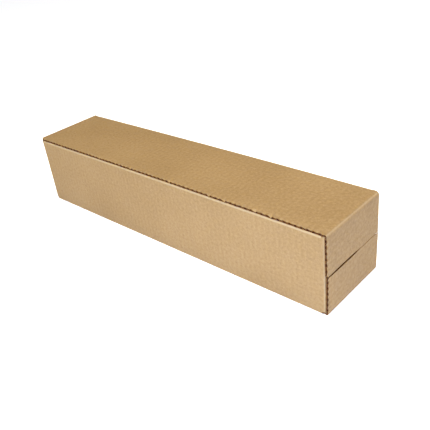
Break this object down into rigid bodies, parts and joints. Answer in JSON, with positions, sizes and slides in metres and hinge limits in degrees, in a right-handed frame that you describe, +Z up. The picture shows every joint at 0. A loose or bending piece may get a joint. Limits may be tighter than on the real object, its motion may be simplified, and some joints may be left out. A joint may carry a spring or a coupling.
{
  "type": "long shipping box",
  "caption": "Long square-section shipping box of plain kraft corrugated board, with folding flaps at both ends and a raw fluted edge along the top.",
  "frame": {"origin": "middle of the base, on the surface that the box stands on", "axes": "+X along the box to its right end, +Y from the front panel to the back panel, +Z up"},
  "size_m": [0.5214, 0.108, 0.108],
  "materials": {
    "kraft_board": "matte"
  },
  "bodies": {
    "box": {"box_body": "kraft_board"},
    "right_upper_flap": {"right_upper_flap": "kraft_board"},
    "right_lower_flap": {"right_lower_flap": "kraft_board"},
    "left_upper_flap": {"left_upper_flap": "kraft_board"},
    "left_lower_flap": {"left_lower_flap": "kraft_board"}
  },
  "joints": [
    {"name": "right_upper_crease", "type": "hinge", "parent": "box", "child": "right_upper_flap", "pos_m": [0.26, 0, 0.108], "axis": [0, -1, 0], "range_deg": [-0.4, 175]},
    {"name": "right_lower_crease", "type": "hinge", "parent": "box", "child": "right_lower_flap", "pos_m": [0.26, 0, 0], "axis": [0, 1, 0], "range_deg": [-0.8, 89.2]},
    {"name": "left_upper_crease", "type": "hinge", "parent": "box", "child": "left_upper_flap", "pos_m": [-0.26, 0, 0.108], "axis": [0, 1, 0], "range_deg": [-0.4, 175]},
    {"name": "left_lower_crease", "type": "hinge", "parent": "box", "child": "left_lower_flap", "pos_m": [-0.26, 0, 0], "axis": [0, -1, 0], "range_deg": [-0.8, 89.2]}
  ]
}
